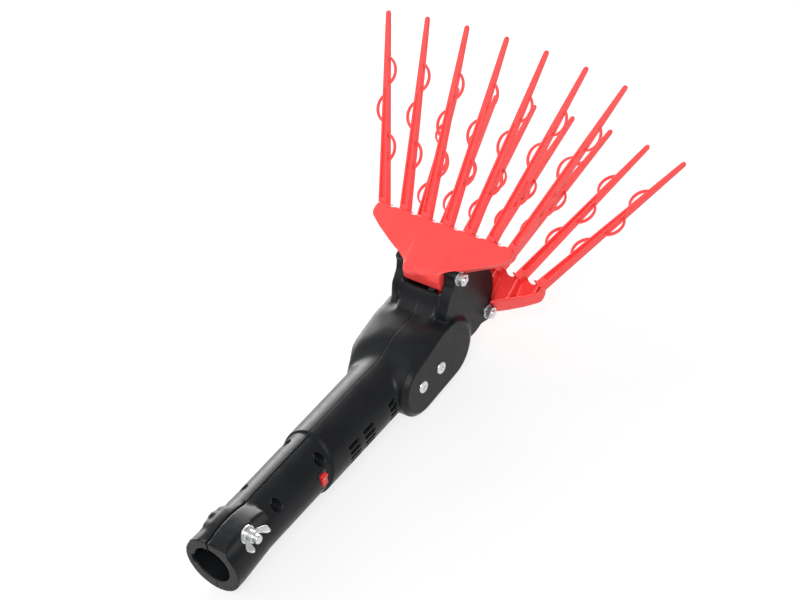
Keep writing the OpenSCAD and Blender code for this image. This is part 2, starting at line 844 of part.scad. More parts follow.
module face_gear() {
    color([0.85, 0.83, 0.76]) difference() {
        union() {
            along_y(idler_x, face_root_y, drive_z) cylinder(r = face_rim_r + seat_gap, h = face_disc_t);
            along_y(idler_x, -hub_end, drive_z) cylinder(r = hub_r, h = hub_end + face_root_y + over);
            translate([idler_x, 0, drive_z]) for (tooth = [0 : face_teeth - 1])
                rotate([0, (tooth + 0.5) * 360 / face_teeth, 0]) translate([face_rim_r, 0, 0])
                    rotate([0, -90, 0]) linear_extrude(face_tooth_in + face_tooth_out) face_tooth_outline();
        }
        along_y(idler_x, -2 * hub_end, drive_z) cylinder(r = axle_r + run_fit, h = 4 * hub_end);
    }
}

module idler_pinion() {
    color([0.7, 0.66, 0.5]) translate([idler_x, 0, drive_z]) difference() {
        union() {
            slab(face_back_y, gear_y + gear_w + idler_lead) gear_outline(idler_teeth);
            along_y(0, gear_y + gear_w, 0) cylinder(r = 0.9 * hub_r, h = hub_end - gear_y - gear_w);
        }
        along_y(0, 0, 0) cylinder(r = axle_r + run_fit, h = 2 * hub_end);
    }
}

// Crank: the eccentric journal stands towards the upper pivot at rest
module crank_hub() {
    color([0.66, 0.66, 0.68]) in_head() difference() {
        union() {
            along_y(0, -hub_end, 0) cylinder(r = hub_r, h = 2 * hub_end);
            along_y(0, -journal_half, throw) cylinder(r = journal_r, h = 2 * journal_half);
        }
        along_y(0, -2 * hub_end, 0) cylinder(r = axle_r + run_fit, h = 4 * hub_end);
    }
}

module crank_gear() {
    color([0.85, 0.83, 0.76]) translate([crank_x, 0, drive_z]) difference() {
        slab(gear_y, gear_y + gear_w) rotate(180 / crank_teeth) gear_outline(crank_teeth);
        along_y(0, 0, 0) cylinder(r = hub_r, h = 2 * hub_end);
    }
}

// Connecting rod along the local x axis, from the journal to the lever pin
module rod(length, shift) {
    difference() {
        slab(-rod_t / 2, rod_t / 2) {
            circle(big_end_r);
            translate([length, shift]) circle(eye_r);
            polygon([[0, -1.3 * rod_half_h], [length, shift - rod_half_h],
                     [length, shift + rod_half_h], [0, 1.3 * rod_half_h]]);
        }
        along_y(0, -rod_t, 0) cylinder(r = journal_r + run_fit, h = 2 * rod_t);
        along_y(length, -rod_t, shift) cylinder(r = pin_r + eye_play, h = 2 * rod_t);
    }
}

module upper_rod() {
    color("silver") in_head() translate([0, -rod_y, throw]) rotate([0, -rod_angle(upper_run), 0])
        rod(rod_len(upper_run), eye_shift);
}

module lower_rod() {
    color("silver") in_head() rotate([180, 0, 0]) translate([0, -rod_y, -throw])
        rotate([0, -rod_angle(lower_run), 0]) rod(rod_len(lower_run), -eye_shift);
}

// Comb
module wing_plan(inset) {
    for (side = [-1, 1])
        bean([comb_front - heart_r, 0], heart_r - inset,
             [comb_front - corner_r, side * corner_v], corner_r - inset);
}

module wing_side(inset) {
    front_top = tine_root / 2 - tine_drop + front_lip;
    front_bottom = -tine_root / 2 - tine_drop - front_foot;
    rear_u = comb_front - 2 * heart_r;
    low = inset > 0 ? 2 * heart_r : 0;
    polygon([[rear_u, wing_top_rear - inset], [comb_front + over, front_top - inset],
             [comb_front + over, front_bottom - low], [rear_u, wing_bottom_rear - low]]);
}

module wing_block(inset) {
    span = corner_v + corner_r + over;
    intersection() {
        translate([0, 0, -2 * heart_r]) linear_extrude(4 * heart_r) wing_plan(inset);
        slab(-span, span) wing_side(inset);
    }
}

module wing_shell() {
    difference() {
        wing_block(0);
        difference() {
            wing_block(comb_wall);
            for (i = [-side_tines : side_tines])
                translate([-tongue_end, i * tine_pitch - rib_t / 2, -2 * heart_r])
                    cube([comb_front + tongue_end, rib_t, 4 * heart_r]);
        }
        for (i = [-side_tines : side_tines - 1])
            translate([comb_front - gap_depth + gap_r, (i + 0.5) * tine_pitch, -2 * heart_r])
                cylinder(r = gap_r, h = 4 * heart_r);
    }
}

module tongue() {
    slab(-tongue_half, tongue_half) {
        circle(barrel_r);
        polygon([[-tongue_end, 0.4 * barrel_r], [-0.65 * tongue_end, 1.45 * barrel_r],
                 [-0.2 * tongue_end, tongue_top], [2 * tongue_end, 0], [2 * tongue_end, -0.8 * barrel_r],
                 [0.4 * tongue_end, -0.7 * barrel_r], [-tongue_end, -0.4 * barrel_r]]);
    }
}

module taper() {
    root = tine_root / 2;
    tip = tine_tip / 2;
    polygon([[-tine_embed, root], [tine_len, tip], [tine_len, -tip], [-tine_embed, -root]]);
}

module groove() {
    reach = groove_share * tine_len;
    polygon([[tine_root / 2, groove_half], [reach, groove_tip_half],
             [reach, -groove_tip_half], [tine_root / 2, -groove_half]]);
}

// One side loop: a thin arch that stands on the tine's flank
module side_loop(share, side) {
    flank_v = tine_root / 2 - share * (tine_root - tine_tip) / 2;
    translate([share * tine_len, side * (flank_v - loop_embed + loop_rise - loop_arc_r), -loop_w / 2])
        rotate(side * 90 - loop_half_arc) rotate_extrude(angle = 2 * loop_half_arc)
            translate([loop_arc_r - loop_t, 0]) square([loop_t, loop_w]);
}

module tine() {
    difference() {
        intersection() {
            translate([0, 0, -tine_root]) linear_extrude(2 * tine_root) taper();
            slab(-tine_root, tine_root) taper();
        }
        for (face = [0, 180]) rotate([face, 0, 0])
            translate([0, 0, groove_floor]) linear_extrude(tine_root) groove();
    }
    translate([tine_len, 0, 0]) sphere(0.45 * tine_tip);
    for (i = [0 : len(loop_shares) - 1]) side_loop(loop_shares[i], i % 2 == 0 ? -1 : 1);
}

module tines() {
    for (i = [-side_tines : side_tines])
        translate([tine_start, i * tine_pitch, -tine_drop]) rotate(i * tine_fan) tine();
}

module lever_lug(angle) {
    slab(-rod_y - rod_t / 2 - lug_gap - lug_t, -rod_y + rod_t / 2 + lug_gap + lug_t)
        bean([0, 0], barrel_r, polar(lever, angle), lug_r);
}

// Room for the ears and the pivot fasteners over the comb's whole swing
module ear_room(open) {
    start_y = tongue_half - over;
    sweep = norm([ear_back, pivot_half]) * sin(comb_swing);
    for (side = [0, 1]) mirror([0, side, 0]) {
        rotate([0, open, 0]) translate([-pivot_reach, 0, -pivot_half])
            slab(start_y, ear_half_w + ear_clear) ear_outline(ear_clear + sweep, ear_clear);
        along_y(0, start_y, 0) cylinder(r = pivot_washer_r + ear_clear, h = ear_half_w);
    }
}

module comb(open, lever_at) {
    pin = polar(lever, lever_at);
    difference() {
        union() {
            difference() {
                wing_shell();
                ear_room(open);
            }
            tongue();
            lever_lug(lever_at);
            tines();
        }
        along_y(0, -2 * ear_half_w, 0) cylinder(r = sleeve_r + run_fit, h = 4 * ear_half_w);
        along_y(pin[0], -2 * ear_half_w, pin[1]) cylinder(r = pin_r, h = 4 * ear_half_w);
        along_y(pin[0], -rod_y - rod_t / 2 - lug_gap, pin[1])
            cylinder(r = eye_r + eye_play + pocket_gap, h = rod_t + 2 * lug_gap);
    }
}

module in_comb(upper) {
    at_pivot(upper) rotate([0, upper ? -upper_open : -lower_open, 0]) children();
}

module upper_comb() {
    color([0.93, 0.16, 0.14]) in_comb(true) comb(upper_open, lever_angle(upper_run, upper_open));
}

module lower_comb() {
    color([0.93, 0.16, 0.14]) in_comb(false) comb(lower_open, lever_angle(lower_run, lower_open));
}

module lever_pin(angle) {
    pin = polar(lever, angle);
    half = rod_t / 2 + lug_gap + lug_t;
    along_y(pin[0], -rod_y - half, pin[1]) cylinder(r = pin_r, h = 2 * half);
}

module upper_lever_pin() {
    color("silver") in_comb(true) lever_pin(lever_angle(upper_run, upper_open));
}

module lower_lever_pin() {
    color("silver") in_comb(false) lever_pin(lever_angle(lower_run, lower_open));
}

// Pivot fasteners; both nuts are on the right side
module pivot_sleeve(upper) {
    color("silver") at_pivot(upper) ring_y(0, -ear_gap_half, ear_gap_half, 0, sleeve_r, pivot_bolt_r);
}

module upper_pivot_sleeve() {
    pivot_sleeve(true);
}

module lower_pivot_sleeve() {
    pivot_sleeve(false);
}

// Places a child at both pivots, with +Y still to the left
module at_both_pivots() {
    for (side = [1, -1]) in_head() translate([pivot_reach, 0, side * pivot_half]) children();
}

module pivot_bolts() {
    end_y = -ear_half_w - pivot_washer_t - pivot_nut_t - pivot_thread;
    color("silver") at_both_pivots() {
        along_y(0, end_y, 0) cylinder(r = pivot_bolt_r, h = ear_half_w - end_y);
        along_y(0, ear_half_w, 0) cylinder(r = pivot_nut_r, h = pivot_head_t, $fn = 6);
    }
}

module pivot_washers() {
    color("silver") at_both_pivots()
        ring_y(0, -ear_half_w - pivot_washer_t, -ear_half_w, 0, pivot_washer_r, pivot_bolt_r);
}

module pivot_nuts() {
    color("silver") at_both_pivots()
        along_y(0, -ear_half_w - pivot_washer_t - pivot_nut_t, 0) difference() {
            cylinder(r = pivot_nut_r, h = pivot_nut_t, $fn = 6);
            translate([0, 0, -over]) cylinder(r = pivot_bolt_r, h = pivot_nut_t + 2 * over);
        }
}

right_housing();
left_housing();
handle_screws();
clamp_bolt();
clamp_washer();
wing_nut();
switch_body();
switch_rocker();
switch_terminals();
motor_can();
motor_magnets();
motor_armature();
motor_end_cap();
motor_terminals();
motor_plate();
motor_screws();
motor_pinion();
idler_axle();
face_gear();
idler_pinion();
crank_axle();
crank_hub();
crank_gear();
axle_screws();
upper_rod();
lower_rod();
upper_comb();
lower_comb();
upper_lever_pin();
lower_lever_pin();
upper_pivot_sleeve();
lower_pivot_sleeve();
pivot_bolts();
pivot_washers();
pivot_nuts();
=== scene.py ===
"""Looks of the electric olive harvester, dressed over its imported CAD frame."""
import json
import math

import bmesh
import bpy
import numpy as np
from mathutils import Matrix, Vector


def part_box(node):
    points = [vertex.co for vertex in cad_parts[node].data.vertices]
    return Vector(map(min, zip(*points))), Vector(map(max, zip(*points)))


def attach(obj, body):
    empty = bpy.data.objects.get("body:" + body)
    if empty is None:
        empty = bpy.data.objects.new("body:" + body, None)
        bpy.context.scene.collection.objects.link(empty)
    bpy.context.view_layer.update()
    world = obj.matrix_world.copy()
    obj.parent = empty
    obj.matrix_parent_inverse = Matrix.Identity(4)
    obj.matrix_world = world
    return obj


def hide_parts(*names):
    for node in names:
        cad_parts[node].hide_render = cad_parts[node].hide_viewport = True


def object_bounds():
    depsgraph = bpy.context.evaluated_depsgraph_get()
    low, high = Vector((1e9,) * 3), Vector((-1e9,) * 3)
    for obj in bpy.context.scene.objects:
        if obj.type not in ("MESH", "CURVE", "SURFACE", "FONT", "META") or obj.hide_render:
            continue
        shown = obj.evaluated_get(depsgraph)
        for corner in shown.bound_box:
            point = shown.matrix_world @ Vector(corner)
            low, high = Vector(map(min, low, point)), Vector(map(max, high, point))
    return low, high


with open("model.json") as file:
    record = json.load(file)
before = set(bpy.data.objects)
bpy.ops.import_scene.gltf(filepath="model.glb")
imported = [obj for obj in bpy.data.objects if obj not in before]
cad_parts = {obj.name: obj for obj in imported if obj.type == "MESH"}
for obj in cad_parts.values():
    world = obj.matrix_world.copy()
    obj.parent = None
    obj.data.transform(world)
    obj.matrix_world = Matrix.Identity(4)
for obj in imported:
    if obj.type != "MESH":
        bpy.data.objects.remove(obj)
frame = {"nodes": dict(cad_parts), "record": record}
cad_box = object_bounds()
nodes = frame["nodes"]

MM = 0.001

# Camera, from a fit to the photograph
CAMERA_PLACE = Vector((-917.1, -1106.0, 1512.8)) * MM
CAMERA_AIM = Vector((273.2, 0.0, 62.35)) * MM
CAMERA_ROLL = math.radians(10.59)
CAMERA_LENS = 117.0
SENSOR_WIDTH = 36.0

# Floor and world
FLOOR_HALF = 4.0
FLOOR_GLOW = 0.78
WORLD_STRENGTH = 0.5

# Skins of the moulded pieces, with the rounds of smoothing that each of their soft parts gets
HOUSING_VOXEL = 0.6 * MM
COMB_VOXEL = 0.6 * MM
WELD_REACH, DOUBLES_REACH = 0.001 * MM, 0.0001 * MM
DRUM_ROUNDS, ROOF_ROUNDS, RIDGE_ROUNDS, SHELL_ROUNDS = 450, 170, 70, 8
WING_ROUNDS, CREASE_ROUNDS = 14, 110
SEAM_HALF, SEAM_EDGE, SEAM_DEPTH = 0.003 * MM, 0.7 * MM, 0.4 * MM
METAL_BEVEL, BLADE_BEVEL = 0.25 * MM, 0.5 * MM

# From here on, lengths without MM are in millimetres.
# The head's frame: its h axis runs from the crank to the middle of the two pivots, its n axis up from that
HEAD_ORIGIN = Vector((269.0, 0.0, 3.0)) * MM
HEAD_ANGLE = math.radians(25.5)
PIVOT_REACH, PIVOT_HALF = 69.5, 34.5
UPPER_OPEN, LOWER_OPEN = math.radians(21.3), math.radians(10.1)

# Handle, tube and gearbox: radii and stretches along x
HANDLE_R, HANDLE_X = 25.0, (60.0, 132.0)
TUBE_R, TUBE_X = 27.0, (134.0, 206.0)
AXIS_RISE, AXIS_RISE_X = 3.0, (200.0, 250.0)
FACE_Y, SCREW_HEAD = 36.0, 4.0

# The left cheek, its rear corner and the wall behind it: where each comes in, and how far
CHEEK_X, CHEEK_Y, CHEEK_IN = (222.0, 236.0, 300.0, 312.0), (20.0, 32.0), 1.0
CORNER_X, CORNER_REACH, CORNER_IN = (208.0, 216.0, 226.0, 244.0), (27.5, 33.0), 6.0
WALL_X, WALL_Y, WALL_IN = (214.0, 220.0, 230.0, 236.0), (16.0, 28.0), 4.0

# The pole clamp: flared rim, ridge with its bolt, and the boss of the bolt's head
RIM_R, RIM_DROP, RIM_LEN, FLARE_LEN = 27.0, 1.5, 10.0, 46.0
CLAMP_X, CLAMP_Z = 26.0, 22.0
RIDGE_END, RIDGE_FALL, SKIN_LIFT = (56.0, 62.0), 0.9, 0.2
FALL_Y, FALL_OFF = (3.0, 18.0), (9.5, 16.0)
BOSS_FOOT, BOSS_SHARE, BOSS_CORE, BOSS_LOW, BOSS_OFF = 14.0, 0.3, 7.0, 8.0, (16.0, 24.0)
BOSS_SLIM, SLIM_Y, SLIM_RISE, SLIM_R = 0.72, (8.0, 13.0), (-1.5, 0.5), (8.8, 14.0)
SLOT_CLOSE, SLOT_Y, SLOT_Z = 0.65, (1.4, 7.0), (10.0, 15.0)
WING_TURN = math.radians(10.0)

# Mouths of the left screw recesses
RECESS_X, RECESS_Z, RECESS_R, RECESS_Y = (66.0, 123.5), 16.0, (6.0, 10.0), (8.0, 14.0)
RECESS_TURN = math.radians(5.0)

# The roof between the ears, and the ears' sloping backs
ROOF_H, ROOF_N, ROOF_HALF = (22.0, 34.0, 54.0, 55.0), (14.0, 17.0, 27.0, 29.0), 21.0
ROOF_LIFT, ROOF_SIDE_LIFT, ROOF_FRONT_LIFT = 1.4, 1.6, 2.4
ROOF_SIDE_Y, ROOF_FRONT_H, ROOF_UPWARD = (4.0, 20.0), (38.0, 51.0), (0.5, 0.8)
EAR_H, EAR_LOW, EAR_Y = (22.0, 28.0, 62.0, 67.0), 15.0, 18.5
EAR_BACK_H, EAR_BACK_N, EAR_SLOPE = 41.6, 21.3, math.radians(43.1)
LEFT_EAR_DOWN, RIGHT_EAR_DOWN = 3.4, 3.0

# Where the housing is smoothed: the gearbox's drum without its flanks, the roof's steps and the clamp's ridge
DRUM_START, DRUM_END, DRUM_CHEEK_RUN = (206.0, 224.0), (266.0, 282.0), (20.0, 18.0)
DRUM_CHEEK_Y, DRUM_RIGHT_Y = (14.0, 22.0), (-29.0, -22.0)
FLANK_X, FLANK_Y, FLANK_Z = (234.0, 242.0), (12.0, 16.0), (3.0, 9.0)
STEP_H, STEP_Y, STEP_RISE = (30.0, 36.0, 52.0, 56.0), (26.5, 30.0), (-1.5, 0.0)
ROOF_FOOT_H, ROOF_FOOT_N, ROOF_SLOPE = 27.0, 19.0, 0.25
RIDGE_X, RIDGE_Y, RIDGE_Z, SEAT_R = (2.0, 7.0, 54.0, 64.0), (1.2, 3.5), (10.0, 16.0), (9.0, 11.0)
OUTWARD = (0.0, 0.25)
WALL_RUN, WALL_NEAR = 3.0, (0.12, 0.4)

# A comb's fan: its front, the narrowing of its corners and the crease by its tongue
FAN_FRONT = 38.2
FAN_CORNER_U, FAN_CORNER_V, FAN_CORNER_SPAN, FAN_NARROW = (8.0, 18.0), 58.0, 16.0, 0.17
CREASE_U, CREASE_W = (4.0, 12.0), (6.0, 9.0)

# Tines and their loops
SIDE_TINES, TINE_PITCH, TINE_FAN = 3, 22.5, math.radians(6.3)
TINE_START, TINE_DROP, TINE_EMBED, TINE_REACH_IN = 38.5, 8.7, 2.2, 4.5
TINE_LEN, TINE_ROOT, TINE_TIP, TINE_BEVEL = 165.0, 8.0, 3.5, 0.5 * MM
TINE_END = ((-1.2, 1.0), (0.4, 0.82), (1.3, 0.4))
GROOVE_FLOOR, GROOVE_HALF, GROOVE_TIP, GROOVE_SHARE = 1.68, 2.32, 0.7, 0.6
GROOVE_RUN_IN, GROOVE_RUN_OUT, GROOVE_MOST = 0.8, 1.0, 0.7
LOOP_CHORD, LOOP_RISE, LOOP_T, LOOP_W, LOOP_EMBED = 26.0, 8.0, 1.7, 2.8, 1.3
LOOP_SHARES, LOOP_STEPS = (0.285, 0.49, 0.69), 24

# Looks of the material slots
PLASTICS = {
    "housing_black": dict(dark=(0.006, 0.0068, 0.008), light=(0.0105, 0.0115, 0.013), rough=0.36,
                          grain_strength=0.06, specular=0.2),
    "comb_red": dict(dark=(0.9, 0.058, 0.054), light=(0.95, 0.068, 0.063), rough=0.38,
                     grain=1800.0, grain_strength=0.06, specular=0.45),
    "switch_black": dict(dark=(0.02, 0.02, 0.021), light=(0.03, 0.03, 0.031), rough=0.36),
    "switch_red": dict(dark=(0.7, 0.02, 0.02), light=(0.8, 0.03, 0.03), rough=0.2,
                       grain=1800.0, grain_strength=0.03),
    "gear_plastic": dict(dark=(0.74, 0.71, 0.62), light=(0.82, 0.8, 0.72), rough=0.45),
}
METALS = {
    "steel": dict(dark=(0.66, 0.67, 0.68), light=(0.75, 0.76, 0.76), rough=0.34),
    "brass": dict(dark=(0.66, 0.5, 0.22), light=(0.78, 0.61, 0.3), rough=0.3),
    "motor_steel": dict(dark=(0.5, 0.51, 0.52), light=(0.62, 0.63, 0.64), rough=0.34),
    "motor_iron": dict(dark=(0.16, 0.13, 0.11), light=(0.26, 0.22, 0.19), rough=0.5),
    "gear_steel": dict(dark=(0.42, 0.42, 0.43), light=(0.55, 0.55, 0.56), rough=0.4),
    # rod_aluminium: painted shade, the rods are coloured near black so that their ends under the tongue look
    # shaded
    "rod_aluminium": dict(dark=(0.03, 0.031, 0.033), light=(0.05, 0.051, 0.054), rough=0.42),
}


class Shader:
    """A short way to wire up the nodes of one procedural material."""

    NOISE_LOW, NOISE_HIGH = 0.3, 0.7

    def __init__(self, name):
        self.material = bpy.data.materials.new(name)
        self.material.use_nodes = True
        self.tree = self.material.node_tree
        self.principled = self.tree.nodes["Principled BSDF"]
        self.coords = self.node("ShaderNodeTexCoord").outputs["Object"]

    def node(self, kind, **values):
        made = self.tree.nodes.new(kind)
        for key, value in values.items():
            setattr(made, key, value)
        return made

    def link(self, source, target):
        self.tree.links.new(source, target)

    def noise(self, scale, detail, stretch=None):
        made = self.node("ShaderNodeTexNoise")
        made.inputs["Scale"].default_value = scale
        made.inputs["Detail"].default_value = detail
        source = self.coords
        if stretch:
            mapping = self.node("ShaderNodeMapping")
            mapping.inputs["Scale"].default_value = stretch
            self.link(self.coords, mapping.inputs["Vector"])
            source = mapping.outputs["Vector"]
        self.link(source, made.inputs["Vector"])
        return made.outputs["Fac"]

    def spread(self, value, low, high):
        """The usual range of a noise, spread from low to high."""
        made = self.node("ShaderNodeMapRange")
        made.inputs["From Min"].default_value = self.NOISE_LOW
        made.inputs["From Max"].default_value = self.NOISE_HIGH
        made.inputs["To Min"].default_value = low
        made.inputs["To Max"].default_value = high
        self.link(value, made.inputs["Value"])
        return made.outputs["Result"]

    def colour(self, value, dark, light):
        made = self.node("ShaderNodeMix", data_type="RGBA")
        made.inputs["A"].default_value = (*dark, 1)
        made.inputs["B"].default_value = (*light, 1)
        self.link(value, made.inputs["Factor"])
        self.link(made.outputs["Result"], self.principled.inputs["Base Color"])

    def roughness(self, value, low, high):
        self.link(self.spread(value, low, high), self.principled.inputs["Roughness"])

    def bump(self, value, strength, distance):
        made = self.node("ShaderNodeBump")
        made.inputs["Strength"].default_value = strength
        made.inputs["Distance"].default_value = distance
        self.link(value, made.inputs["Height"])
        self.link(made.outputs["Normal"], self.principled.inputs["Normal"])

    def set(self, **values):
        for key, value in values.items():
            self.principled.inputs[key.replace("_", " ")].default_value = value


def moulded_plastic(name, dark, light, rough, grain=2600.0, grain_strength=0.12, specular=0.5):
    """Moulded plastic: faint flow marks in the colour, a fine grain in the gloss and relief."""
    shader = Shader(name)
    shader.colour(shader.spread(shader.noise(38.0, 4.0), 0.0, 1.0), dark, light)
    shader.roughness(shader.noise(160.0, 3.0), rough - 0.05, rough + 0.05)
    shader.bump(shader.noise(grain, 2.0), grain_strength, 0.04 * MM)
    shader.set(Specular_IOR_Level=specular)
    return shader.material


def plated_metal(name, dark, light, rough):
    """Plated or bare metal with faint drawn lines and clouded gloss."""
    shader = Shader(name)
    shader.colour(shader.spread(shader.noise(220.0, 4.0), 0.0, 1.0), dark, light)
    shader.roughness(shader.noise(500.0, 4.0), rough - 0.07, rough + 0.09)
    shader.bump(shader.noise(900.0, 2.0, (1.0, 6.0, 1.0)), 0.05, 0.03 * MM)
    shader.set(Metallic=1.0)
    return shader.material


def make_materials():
    """A material for each slot of the record."""
    made = {slot: moulded_plastic(slot, **look) for slot, look in PLASTICS.items()}
    made.update({slot: plated_metal(slot, **look) for slot, look in METALS.items()})
    return made


def dress(node, material):
    piece = nodes[node]
    piece.data.materials.clear()
    piece.data.materials.append(material)


def modifier(piece, kind, **values):
    made = piece.modifiers.new(kind.lower(), kind)
    for key, value in values.items():
        setattr(made, key, value)
    return made


def bevel(piece, width, angle, segments=2):
    """Small rounded edges, where faces meet at more than an angle in degrees."""
    modifier(piece, "BEVEL", width=width, segments=segments, limit_method="ANGLE",
             angle_limit=math.radians(angle))
    modifier(piece, "WEIGHTED_NORMAL", keep_sharp=False)


def bake(piece):
    """Turns a piece's modifiers into its mesh."""
    graph = bpy.context.evaluated_depsgraph_get()
    baked = bpy.data.meshes.new_from_object(piece.evaluated_get(graph))
    piece.modifiers.clear()
    piece.vertex_groups.clear()
    piece.data = baked


def new_piece(name, mesh, material=None):
    """A piece in the scene, made of a bmesh, which is used up."""
    data = bpy.data.meshes.new(name)
    mesh.to_mesh(data)
    mesh.free()
    if material:
        data.materials.append(material)
    piece = bpy.data.objects.new(name, data)
    bpy.context.scene.collection.objects.link(piece)
    return piece


def copy_of(name, sources):
    """A new piece with the shapes of some CAD nodes."""
    mesh = bmesh.new()
    for node in sources:
        mesh.from_mesh(nodes[node].data)
    return new_piece(name, mesh)


def joined(name, pieces):
    """Several pieces as one."""
    mesh = bmesh.new()
    for piece in pieces:
        bake(piece)
        mesh.from_mesh(piece.data)
    material = pieces[0].data.materials[0]
    for piece in pieces:
        bpy.data.objects.remove(piece)
    return new_piece(name, mesh, material)


def stands_for(piece, node, body):
    """Has a piece ride a body in place of a CAD node."""
    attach(piece, body)
    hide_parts(node)


def skin(mesh, rings):
    """Faces between rings of points, closed at both ends."""
    count = len(rings[0])
    for low, high in zip(rings, rings[1:]):
        for step in range(count):
            after = (step + 1) % count
            mesh.faces.new((low[step], low[after], high[after], high[step]))
    mesh.faces.new(tuple(reversed(rings[0])))
    mesh.faces.new(rings[-1])


def cut_off(mesh, place, direction, clear=True):
    """Cuts a bmesh at a plane, by choice without what lies beyond it, and gives the edges of the cut."""
    geometry = mesh.verts[:] + mesh.edges[:] + mesh.faces[:]
    cut = bmesh.ops.bisect_plane(mesh, geom=geometry, plane_co=place, plane_no=direction, clear_outer=clear)
    return [part for part in cut["geom_cut"] if isinstance(part, bmesh.types.BMEdge)]


def ramp(value, start, end):
    """0 before start, 1 after end, with a soft rise between them."""
    share = np.clip((value - start) / (end - start), 0.0, 1.0)
    return share * share * (3.0 - 2.0 * share)


def window(value, start, full_from, full_to, end):
    """1 from full_from to full_to, with a soft fall to 0 on both sides."""
    return ramp(value, start, full_from) * (1.0 - ramp(value, full_to, end))


def places(piece):
    """A piece's points in millimetres."""
    flat = np.empty(3 * len(piece.data.vertices))
    piece.data.vertices.foreach_get("co", flat)
    return flat.reshape(-1, 3) / MM


def normals(piece):
    """The normals at a piece's points."""
    flat = np.empty(3 * len(piece.data.vertices))
    piece.data.vertex_normals.foreach_get("vector", flat)
    return flat.reshape(-1, 3)


def move(piece, points):
    """Puts a piece's points where these are, in millimetres."""
    piece.data.vertices.foreach_set("co", (points * MM).ravel())
    piece.data.update()


def even_skin(piece, voxel):
    """Covers a piece with one closed skin of even quads. The half step keeps the seam plane off the grid."""
    points = places(piece)
    points[:, 1] += voxel / MM / 2
    move(piece, points)
    modifier(piece, "WELD", merge_threshold=WELD_REACH)
    modifier(piece, "REMESH", mode="VOXEL", voxel_size=voxel, use_smooth_shade=True)
    bake(piece)
    points = places(piece)
    points[:, 1] -= voxel / MM / 2
    move(piece, points)


def soften(piece, rounds, weights=None):
    """Rounds a skin's edges, more where the weights are high."""
    made = modifier(piece, "SMOOTH", factor=0.5, iterations=rounds)
    if weights is not None:
        group = piece.vertex_groups.new(name="soft")
        levels = np.round(weights * 10).astype(int)
        for level in range(1, 11):
            group.add(np.flatnonzero(levels == level).tolist(), level / 10, "REPLACE")
        made.vertex_group = group.name
    bake(piece)


def head_frame(points):
    """The h and n of points."""
    x, z = points[:, 0] - HEAD_ORIGIN.x / MM, points[:, 2] - HEAD_ORIGIN.z / MM
    c, s = math.cos(HEAD_ANGLE), math.sin(HEAD_ANGLE)
    return x * c + z * s, z * c - x * s


def from_head(h, n):
    """A shift in x and z from one in h and n."""
    c, s = math.cos(HEAD_ANGLE), math.sin(HEAD_ANGLE)
    return h * c - n * s, h * s + n * c


def faces_out(piece, points):
    """1 on the housing's outside, 0 on the walls of its rooms."""
    middle = points.copy()
    middle[:, 1] = 0.0
    middle[:, 2] = AXIS_RISE * ramp(points[:, 0], *AXIS_RISE_X)
    outward = points - middle
    outward /= np.maximum(np.linalg.norm(outward, axis=1), 1e-6)[:, None]
    return ramp((outward * normals(piece)).sum(axis=1), *OUTWARD)


def shape_cheek(points, out):
    """The left cheek's back comes in, with the wall of the room behind it, but not over the axles' ends."""
    x, y, z = points.T
    y -= window(x, *CHEEK_X) * ramp(y, *CHEEK_Y) * CHEEK_IN
    corner = window(x, *CORNER_X) * (y > 0.0)
    y -= corner * ramp(np.hypot(y, z), *CORNER_REACH) * CORNER_IN
    y -= (1.0 - out) * window(x, *WALL_X) * ramp(y, *WALL_Y) * WALL_IN


def shape_clamp(points):
    """The clamp's ridge falls away on the left, but for a small boss round its bolt's head."""
    x, y, z = points.T
    along = np.clip((x - RIM_LEN) / (FLARE_LEN - RIM_LEN), 0.0, 1.0)
    reach = RIM_R + (HANDLE_R - RIM_R) * along
    drop = RIM_DROP * (1.0 - along)
    foot = np.sqrt(np.maximum(reach ** 2 - y ** 2, 0.0)) - drop + SKIN_LIFT
    side = np.sqrt(np.maximum(reach ** 2 - (z + drop) ** 2, 0.0)) + SKIN_LIFT
    off = np.abs(x - CLAMP_X)
    axis = np.hypot(x - CLAMP_X, z - CLAMP_Z)

    fall = ramp(y, *FALL_Y) * (1.0 - ramp(x, *RIDGE_END)) * ramp(off, *FALL_OFF)
    pulled = BOSS_FOOT + (y - BOSS_FOOT) * BOSS_SHARE
    pulled = np.where(axis > BOSS_CORE, np.maximum(pulled, np.minimum(y, side)), pulled)
    boss = (y > BOSS_FOOT) * (1.0 - ramp(off, *BOSS_OFF)) * (z > BOSS_LOW)
    z -= fall * (y < reach) * np.maximum(z - foot, 0.0) * RIDGE_FALL
    y += boss * (pulled - y)

    slim = ramp(y, *SLIM_Y) * ramp(z - foot, *SLIM_RISE) * (1.0 - BOSS_SLIM) * (1.0 - ramp(axis, *SLIM_R))
    x -= slim * (x - CLAMP_X)
    z -= slim * (z - CLAMP_Z)


def shape_recesses(points):
    """The mouths of the left recesses turn up a little."""
    for place in RECESS_X:
        x, y, z = points.T.copy()
        near = (1.0 - ramp(np.hypot(x - place, z - RECESS_Z), *RECESS_R)) * ramp(y, *RECESS_Y)
        turn = near * RECESS_TURN
        points[:, 1] = y * np.cos(turn) - z * np.sin(turn)
        points[:, 2] = y * np.sin(turn) + z * np.cos(turn)


